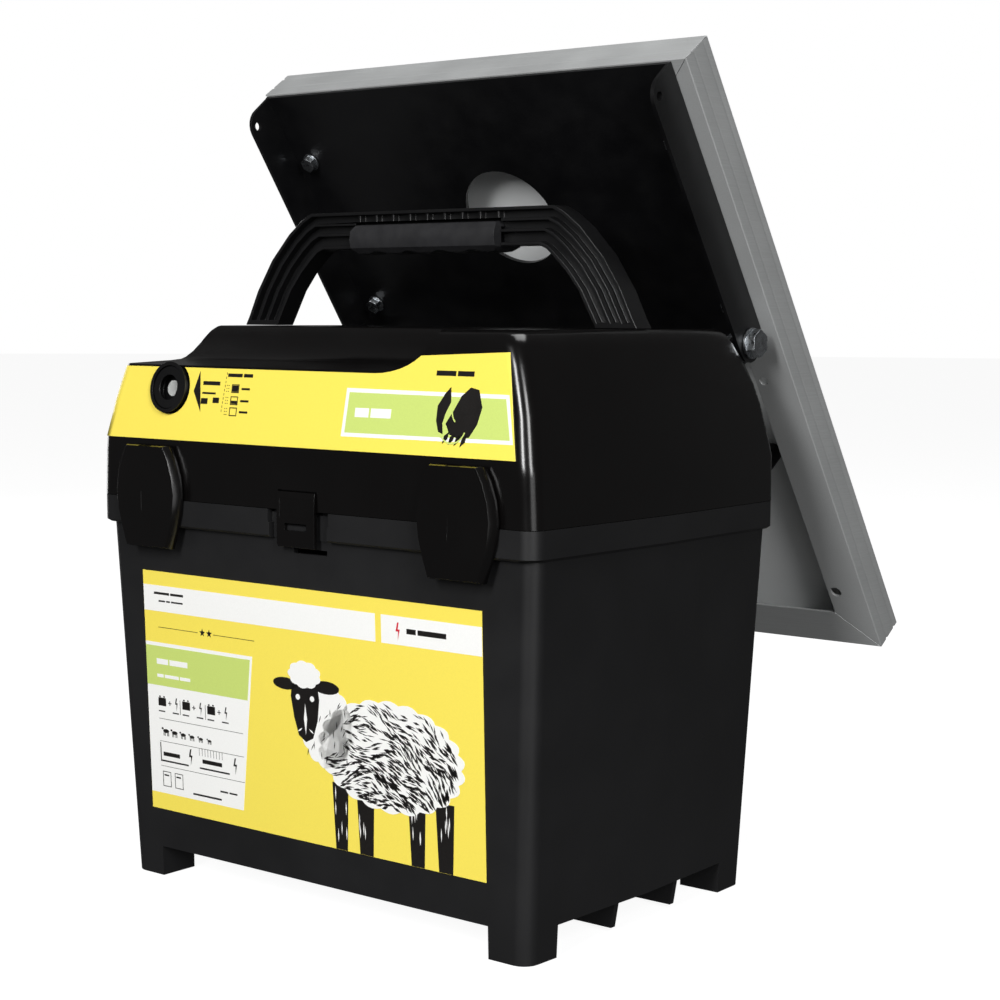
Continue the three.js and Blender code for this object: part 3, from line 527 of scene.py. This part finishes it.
# ---------- the lid's label ----------
def lid_print():
    face = Print("lid_label", LID_LEAN)

    def ink(name, shapes, key, level=1):
        inked("lid_print_" + name, face, shapes, MATS[key], "lid", level)

    ink("frame", [[(29.3, 248.4), (136.2, 248.8), (130.9, 271.2), (30, 271.8)]], "white")
    ink("field", [[(31.4, 250.3), (134.2, 250.6), (129.4, 269.3), (32, 269.8)]], "green", 2)
    ink("title", greek(37, 258, (9, 13), 4.4, 1.3), "white", 3)
    ink("arrow", [[(-78.2, 267.3), (-74.7, 277.7), (-73, 267), (-71.5, 256.7)]], "ink")
    ink("hand", pull_hand(102, 261), "ink", 3)
    ink("curl", [arc_band(99.5, 256, 8.5, -150, -20, 0.7), arc_band(105, 263, 7, 150, 230, 0.7)], "green", 4)
    ink("words", greek(86, 279, (12, 10), 2.4, 1), "ink")
    marks = greek(-71.6, 270.6, (12.6,), 2) + greek(-71.6, 266, (10,), 1)
    marks += [rect(-72, 260.9, 5, 3), rect(-63.2, 261.6, 4.6, 2.8)]
    marks += [rect(-56.3 + 0.17 * i, 257.2 + 2.1 * i, 0.35, 1.3) for i in range(10)]
    marks += greek(-53.8, 275.1, (10.5, 6.5), 1.8, 1)
    for i, z in enumerate((269.3, 263.2, 257.6)):
        marks += frame_of(-50.2, z - 2.2, 5.4, 4.4, 0.5) + greek(-43, z - 0.6, (6,), 1.1)
        marks += [disc(-53.6 + 1.3 * k, z + d, 0.3, n=8) for k in (0, 1) for d in (-1.5, 0, 1.5)]
        if i < 2:
            marks.append(rect(-49.6, z - 1.6, 4.2, 3.2 - 1.6 * i))
    ink("marks", marks, "ink")


def arc_band(x, z, r, start, end, width, n=12):
    angles = [math.radians(start + (end - start) * i / n) for i in range(n + 1)]
    outer = [(x + r * math.cos(a), z + r * math.sin(a)) for a in angles]
    inner = [(x + (r - width) * math.cos(a), z + (r - width) * math.sin(a)) for a in angles]
    return outer + inner[::-1]


def pull_hand(x, z):
    """A generic hand symbol: back of the hand, thumb and three fingertips."""
    palm = [(-3, 2), (1, 9), (6, 13), (11, 12), (14, 4), (12, -4), (8, -10), (2, -11), (-4, -9), (-7, -4)]
    thumb = [(-13, -3), (-13, 4), (-9, 10), (-6, 13), (-5, 6), (-7.5, 1), (-9, -4), (-8, -9), (-11, -8)]
    tips = [stroke(x - 6 + 3.6 * i, z - 10.5 - 0.4 * i, 1.0, 7, 2.6) for i in range(4)]
    return [[(x + a, z + b) for a, b in palm], [(x + a, z + b) for a, b in thumb]] + tips


# ---------- solar cells ----------
def panel_point(x, s, h):
    """A point of the panel: x across, s up from its bottom edge, h out from its back, all in mm."""
    lo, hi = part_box("pv_laminate")
    up = Vector((0, -math.cos(TILT), math.sin(TILT)))
    out = Vector((0, math.sin(TILT), math.cos(TILT)))
    foot = Vector((0, hi.y, lo.z + 4 * MM * math.cos(TILT)))
    return foot + Vector((x * MM, 0, 0)) + up * s * MM + out * h * MM


def panel_plate(bm, x0, x1, s0, s1, h0, h1, cut=0.0):
    ring = [(x0 + cut, s0), (x1 - cut, s0), (x1, s0 + cut), (x1, s1 - cut), (x1 - cut, s1), (x0 + cut, s1),
            (x0, s1 - cut), (x0, s0 + cut)] if cut else [(x0, s0), (x1, s0), (x1, s1), (x0, s1)]
    low = [bm.verts.new(panel_point(x, s, h0)) for x, s in ring]
    high = [bm.verts.new(panel_point(x, s, h1)) for x, s in ring]
    bm.faces.new(high[::-1])
    bm.faces.new(low)
    n = len(ring)
    for i in range(n):
        j = (i + 1) % n
        bm.faces.new((low[j], low[i], high[i], high[j]))


def solar_front():
    cells, bars = bmesh.new(), bmesh.new()
    columns, rows, middle = 4, 9, 191
    wide, tall, gap = 63.0, 38.5, 2.0
    across, along = columns * (wide + gap) - gap, rows * (tall + gap) - gap
    left, low = -across / 2, middle - along / 2
    for i in range(columns):
        for j in range(rows):
            x, s = left + i * (wide + gap), low + j * (tall + gap)
            panel_plate(cells, x, x + wide, s, s + tall, 0.03, 0.12, 2.4)
    for i in range(columns):
        for k in (0.27, 0.73):
            x = left + i * (wide + gap) + wide * k
            panel_plate(bars, x - 0.7, x + 0.7, low - 3, low + along + 3, 0.1, 0.2)
    piece("pv_cells", cells, MATS["cell"], "panel")
    piece("pv_busbars", bars, MATS["zinc"], "panel")


# ---------- studio ----------
def floor():
    """A pale floor with a light of its own, so that it stays even out to the horizon."""
    bm = bmesh.new()
    bmesh.ops.create_circle(bm, cap_ends=True, segments=96, radius=14)
    mesh = bpy.data.meshes.new("floor")
    bm.to_mesh(mesh)
    bm.free()
    o = bpy.data.objects.new("floor", mesh)
    bpy.context.scene.collection.objects.link(o)
    o.location.z = -0.0004
    o.visible_glossy = o.visible_diffuse = False
    m = Nodes("floor_paper", linear("#8a8a8a"), 0.8)
    m.shader.inputs["Emission Color"].default_value = (1, 1, 1, 1)
    m.shader.inputs["Emission Strength"].default_value = 0.92
    m.rough(m.mapped(m.noise(3, 2), 0.75, 0.85))
    mesh.materials.append(m.mat)


def area_light(name, place, aim, size, power, tall=None):
    light = bpy.data.lights.new(name, "AREA")
    light.energy = power
    light.size = size
    if tall:
        light.shape = "RECTANGLE"
        light.size_y = tall
    o = bpy.data.objects.new(name, light)
    o.location = place
    o.rotation_euler = (Vector(aim) - Vector(place)).to_track_quat("-Z", "Y").to_euler()
    bpy.context.scene.collection.objects.link(o)


def studio():
    """White surroundings for the camera, dim ones for everything else, and large soft lamps."""
    middle = (0, 0, 0.22)
    area_light("key_right", (1.9, -1.35, 1.1), middle, 0.5, 31, 1.3)
    area_light("key_front", (0.45, -2.35, 1.2), middle, 0.5, 48, 1.2)
    area_light("top_soft", (0.2, 0.6, 2.3), middle, 1.2, 20)
    area_light("left_edge", (-2.1, 0.3, 0.7), middle, 0.4, 8, 1.4)
    area_light("low_right", (1.15, -0.75, 0.14), (0, 0.1, 0.34), 0.6, 1.6)
    world = bpy.data.worlds.new("studio")
    world.use_nodes = True
    tree = world.node_tree
    seen, dim = tree.nodes["Background"], tree.nodes.new("ShaderNodeBackground")
    seen.inputs["Color"].default_value = dim.inputs["Color"].default_value = (1, 1, 1, 1)
    dim.inputs["Strength"].default_value = 0.08
    ray, pick = tree.nodes.new("ShaderNodeLightPath"), tree.nodes.new("ShaderNodeMixShader")
    tree.links.new(ray.outputs["Is Camera Ray"], pick.inputs[0])
    tree.links.new(dim.outputs[0], pick.inputs[1])
    tree.links.new(seen.outputs[0], pick.inputs[2])
    tree.links.new(pick.outputs[0], tree.nodes["World Output"].inputs["Surface"])
    bpy.context.scene.world = world


def camera():
    data = bpy.data.cameras.new("camera")
    data.lens, data.sensor_width = 72.5, 36
    data.shift_x, data.shift_y = -0.00343, 0.08886
    o = bpy.data.objects.new("camera", data)
    right = Vector((0.78155707, 0.62381422, 0.00493579))
    up = Vector((-0.08847788, 0.10301214, 0.99073718))
    axes = Matrix((right, up, right.cross(up))).transposed()
    o.matrix_world = Matrix.Translation((0.70384, -0.89517, 0.30828)) @ axes.to_4x4()
    bpy.context.scene.collection.objects.link(o)
    bpy.context.scene.camera = o
    bpy.context.scene.view_settings.view_transform = "Standard"


dress_all()
base_print()
lid_print()
solar_front()
floor()
studio()
camera()
